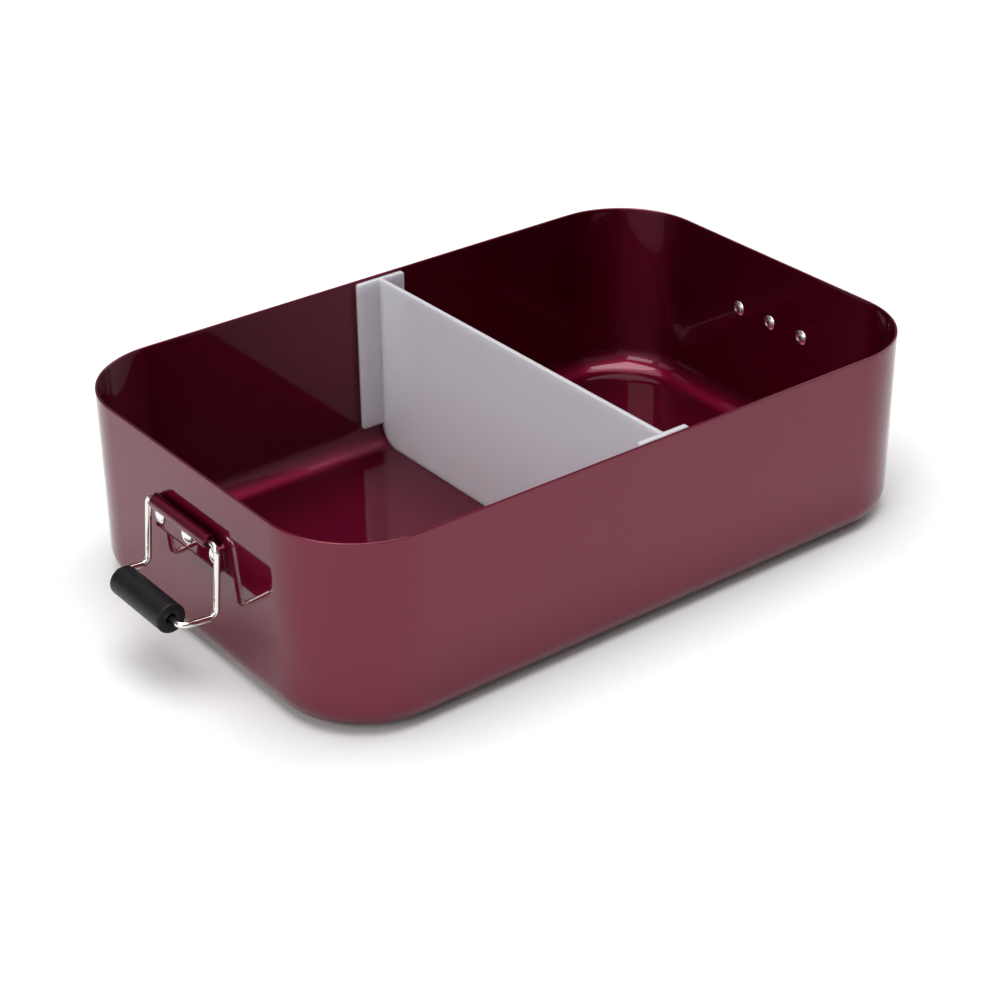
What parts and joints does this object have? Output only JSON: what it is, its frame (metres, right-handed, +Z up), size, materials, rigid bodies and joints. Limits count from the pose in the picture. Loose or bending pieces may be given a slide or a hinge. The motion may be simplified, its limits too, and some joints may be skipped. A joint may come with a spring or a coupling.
{
  "type": "lunch box",
  "caption": "Open deep-drawn aluminium lunch box with rounded corners, a sliding frosted plastic divider, and a wire bail with a plastic grip riveted to each end.",
  "frame": {"origin": "middle of the tub's underside, in the plane that it stands on", "axes": "+X along the box's length, to the end named right; +Y across it, to the back; +Z up"},
  "size_m": [0.2766, 0.15, 0.064],
  "materials": {
    "dyed_aluminium": "burgundy dyed and anodised, smooth and nearly mirror bright",
    "bare_aluminium": "bright set rivet, slightly dulled",
    "plated_steel": "nickel plated drawn wire, bright",
    "black_plastic": "moulded, satin",
    "frosted_plastic": "moulded polypropylene, milky and translucent, satin"
  },
  "bodies": {
    "box": {"tub": "dyed_aluminium", "left_bracket": "dyed_aluminium", "left_rivet_back": "bare_aluminium", "left_rivet_middle": "bare_aluminium", "left_rivet_front": "bare_aluminium", "right_bracket": "dyed_aluminium", "right_rivet_back": "bare_aluminium", "right_rivet_middle": "bare_aluminium", "right_rivet_front": "bare_aluminium"},
    "divider": {"divider": "frosted_plastic"},
    "left_bail": {"left_bail": "plated_steel"},
    "left_grip": {"left_grip": "black_plastic"},
    "right_bail": {"right_bail": "plated_steel"},
    "right_grip": {"right_grip": "black_plastic"}
  },
  "joints": [
    {"name": "left_bail_swing", "type": "hinge", "parent": "box", "child": "left_bail", "pos_m": [-0.1198, 0, 0.0454], "axis": [0, 1, 0], "range_deg": [0, 178]},
    {"name": "right_bail_swing", "type": "hinge", "parent": "box", "child": "right_bail", "pos_m": [0.1198, 0, 0.0454], "axis": [0, -1, 0], "range_deg": [0, 178]},
    {"name": "left_grip_spin", "type": "hinge", "parent": "left_bail", "child": "left_grip", "pos_m": [-0.13353, 0, 0.02391], "axis": [0, 1, 0], "continuous": true},
    {"name": "right_grip_spin", "type": "hinge", "parent": "right_bail", "child": "right_grip", "pos_m": [0.13353, 0, 0.02391], "axis": [0, -1, 0], "continuous": true},
    {"name": "divider_slide", "type": "slide", "parent": "box", "child": "divider", "axis": [1, 0, 0], "range_m": [-0.079, 0.074]}
  ]
}
